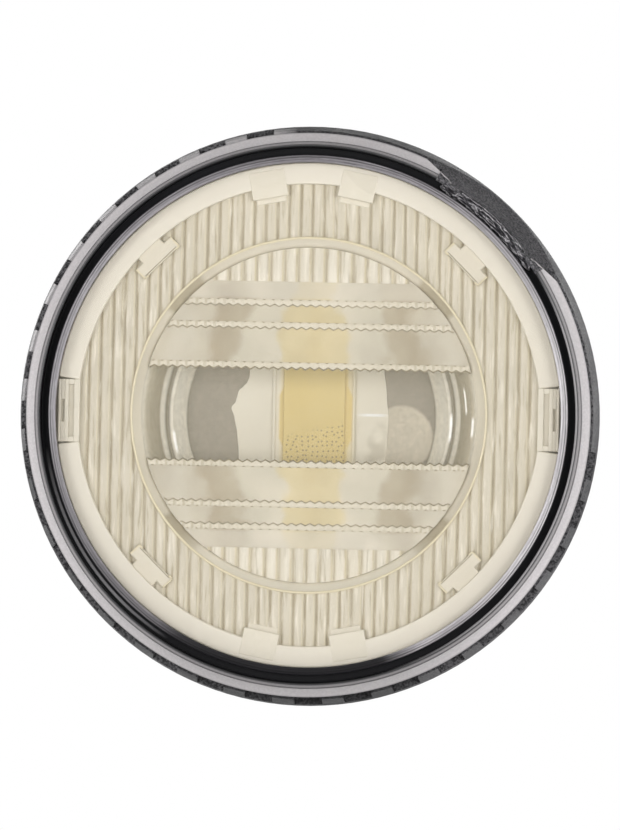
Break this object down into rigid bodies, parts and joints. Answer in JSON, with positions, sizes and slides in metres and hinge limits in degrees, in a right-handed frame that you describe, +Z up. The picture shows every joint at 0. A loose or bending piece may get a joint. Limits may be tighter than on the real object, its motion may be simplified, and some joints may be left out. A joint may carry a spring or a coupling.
{
  "type": "fog light",
  "caption": "Round sealed LED fog light with a clear lens over a fluted optic, finned heat sink, tilting in a bolt-on ring with an aiming screw.",
  "frame": {"origin": "centre of the bolt circle on the mounting ring's rear face", "axes": "+Y backwards out of the ring's rear face, so the beam leaves along -Y; +Z up; +X to the right seen from the front"},
  "size_m": [0.1016, 0.0652, 0.1016],
  "materials": {
    "housing": "fine spark-textured matt black",
    "retaining_ring": "satin silver grey",
    "outer_lens": "clear hard-coated polycarbonate",
    "lens_seal": "black moulded seal",
    "carrier_ring": "cream moulded plastic",
    "inner_optic": "clear moulded acrylic with a warm tint",
    "reflector_surround": "cream moulded plastic",
    "reflector_cup": "metallised, dark grey floor",
    "led_board": "white solder mask on a metal core",
    "led_phosphor": "yellow phosphor silicone",
    "led_board_screws": "zinc plated",
    "thermal_pad": "soft grey-blue gap pad",
    "heat_sink": "black anodised die casting",
    "heat_sink_gasket": "black moulded seal",
    "heat_sink_screws": "zinc plated",
    "driver_board": "green solder mask",
    "driver_inductor": "dark ferrite",
    "driver_capacitors": "aluminium cans",
    "driver_chip": "black moulding compound",
    "driver_screws": "zinc plated",
    "link_pins": "tinned brass",
    "connector_socket": "black glass-filled nylon",
    "connector_pins": "tinned brass",
    "connector_seal": "red-brown silicone",
    "vent_cap": "black moulded cap",
    "pivot_bushes": "natural acetal",
    "mount_ring": "black glass-filled nylon",
    "mount_inserts": "machined brass",
    "pivot_pins": "ground steel",
    "aim_screw": "zinc plated",
    "aim_screw_clip": "spring steel",
    "aim_nut": "natural acetal"
  },
  "bodies": {
    "mount": {"mount_ring": "mount_ring", "mount_inserts": "mount_inserts", "pivot_pins": "pivot_pins"},
    "lamp": {"housing": "housing", "retaining_ring": "retaining_ring", "outer_lens": "outer_lens", "lens_seal": "lens_seal", "carrier_ring": "carrier_ring", "inner_optic": "inner_optic", "reflector_surround": "reflector_surround", "reflector_cup": "reflector_cup", "led_board": "led_board", "led_phosphor": "led_phosphor", "led_board_screws": "led_board_screws", "thermal_pad": "thermal_pad", "heat_sink": "heat_sink", "heat_sink_gasket": "heat_sink_gasket", "heat_sink_screws": "heat_sink_screws", "driver_board": "driver_board", "driver_inductor": "driver_inductor", "driver_capacitors": "driver_capacitors", "driver_chip": "driver_chip", "driver_screws": "driver_screws", "link_pins": "link_pins", "connector_socket": "connector_socket", "connector_pins": "connector_pins", "connector_seal": "connector_seal", "vent_cap": "vent_cap", "pivot_bushes": "pivot_bushes"},
    "screw": {"aim_screw": "aim_screw", "aim_screw_clip": "aim_screw_clip"},
    "nut": {"aim_nut": "aim_nut"}
  },
  "joints": [
    {"name": "lamp_tilt", "type": "hinge", "parent": "mount", "child": "lamp", "pos_m": [0, -0.005, 0], "axis": [1, 0, 0], "range_deg": [-4, 4]},
    {"name": "aim_nut_slide", "type": "slide", "parent": "mount", "child": "nut", "axis": [0, 1, 0], "range_m": [-0.0032, 0.0032]},
    {"name": "aim_screw_spin", "type": "hinge", "parent": "mount", "child": "screw", "pos_m": [0, 0, -0.044], "axis": [0, 1, 0], "range_deg": [-745, 745]}
  ],
  "couplings": [
    {"joint": "aim_nut_slide", "follows": "lamp_tilt", "m_per_rad": 0.044},
    {"joint": "aim_screw_spin", "follows": "lamp_tilt", "ratio": 184.31}
  ]
}
